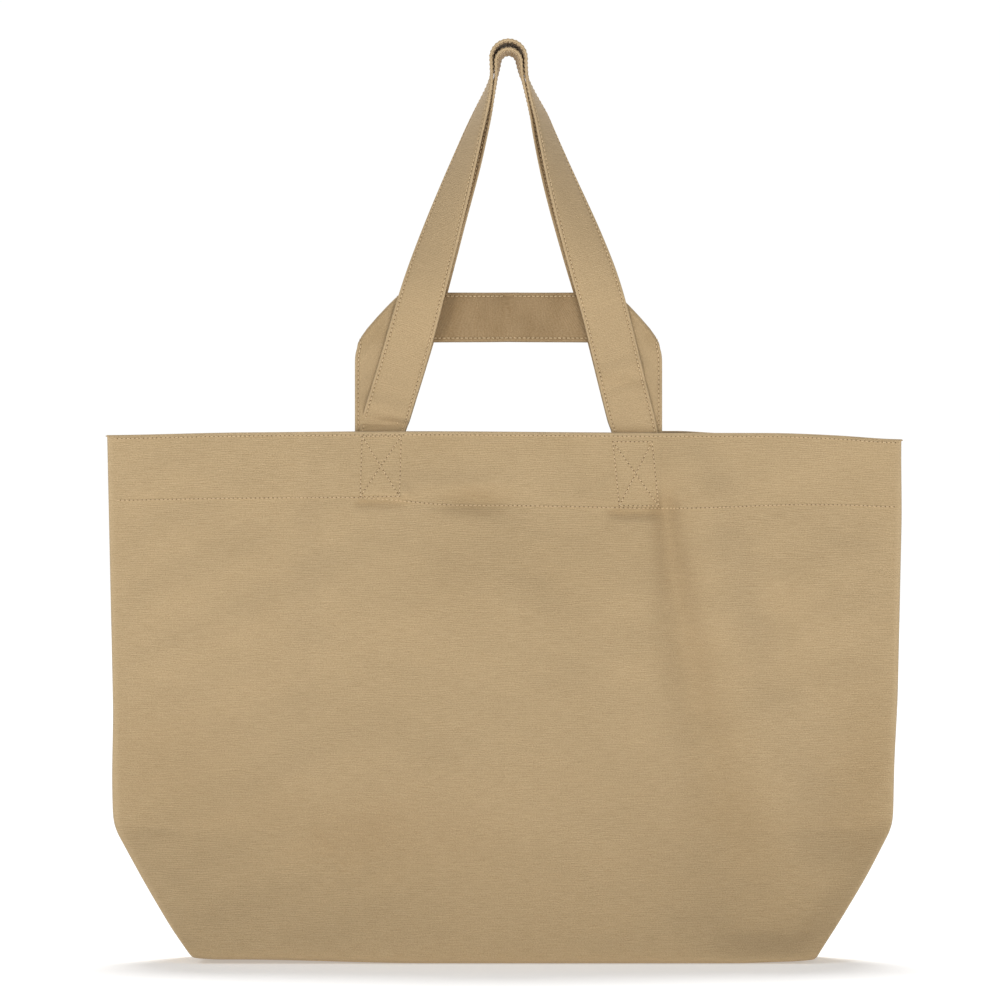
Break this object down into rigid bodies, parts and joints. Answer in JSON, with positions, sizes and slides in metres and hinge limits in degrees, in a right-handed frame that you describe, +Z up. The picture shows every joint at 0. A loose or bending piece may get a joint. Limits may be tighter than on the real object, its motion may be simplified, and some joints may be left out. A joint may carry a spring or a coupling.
{
  "type": "canvas tote bag",
  "caption": "Large open-top canvas tote bag with boxed lower corners, a deep turned hem, long shoulder handles nested in one loop and short hand handles between them.",
  "frame": {"origin": "middle of the flat base, on the surface the bag stands on", "axes": "+Z up, +X across the bag's width to the right as its front is seen, -Y out of the front"},
  "size_m": [0.518, 0.104, 0.6002],
  "materials": {
    "body_canvas": "plain-weave cotton canvas, matt",
    "strap_canvas": "folded cotton canvas strap, matt",
    "thread": "spun polyester sewing thread"
  },
  "bodies": {
    "bag": {"front_panel": "body_canvas", "back_panel": "body_canvas", "front_hem": "body_canvas", "back_hem": "body_canvas", "left_side_seam": "body_canvas", "right_side_seam": "body_canvas", "bottom_seam": "body_canvas", "left_corner_seam": "body_canvas", "right_corner_seam": "body_canvas", "front_left_long_tail": "strap_canvas", "front_right_long_tail": "strap_canvas", "back_left_long_tail": "strap_canvas", "back_right_long_tail": "strap_canvas", "front_left_short_tail": "strap_canvas", "front_right_short_tail": "strap_canvas", "back_left_short_tail": "strap_canvas", "back_right_short_tail": "strap_canvas", "front_left_box_stitch": "thread", "front_right_box_stitch": "thread", "back_left_box_stitch": "thread", "back_right_box_stitch": "thread", "front_hem_stitch": "thread", "back_hem_stitch": "thread", "front_rim_stitch": "thread", "back_rim_stitch": "thread"},
    "front_long": {"front_long_handle": "strap_canvas", "front_long_handle_stitch": "thread"},
    "back_long": {"back_long_handle": "strap_canvas", "back_long_handle_stitch": "thread"},
    "front_short": {"front_short_handle": "strap_canvas", "front_short_handle_stitch": "thread"},
    "back_short": {"back_short_handle": "strap_canvas", "back_short_handle_stitch": "thread"}
  },
  "joints": [
    {"name": "front_long_fold", "type": "hinge", "parent": "bag", "child": "front_long", "pos_m": [0, -0.02122, 0.345], "axis": [1, 0, 0], "range_deg": [0, 168]},
    {"name": "back_long_fold", "type": "hinge", "parent": "bag", "child": "back_long", "pos_m": [0, 0.02122, 0.345], "axis": [-1, 0, 0], "range_deg": [0, 168]},
    {"name": "front_short_lean", "type": "hinge", "parent": "bag", "child": "front_short", "pos_m": [0, -0.0144, 0.345], "axis": [-1, 0, 0], "range_deg": [0, 7]},
    {"name": "back_short_lean", "type": "hinge", "parent": "bag", "child": "back_short", "pos_m": [0, 0.0144, 0.345], "axis": [1, 0, 0], "range_deg": [0, 7]}
  ]
}
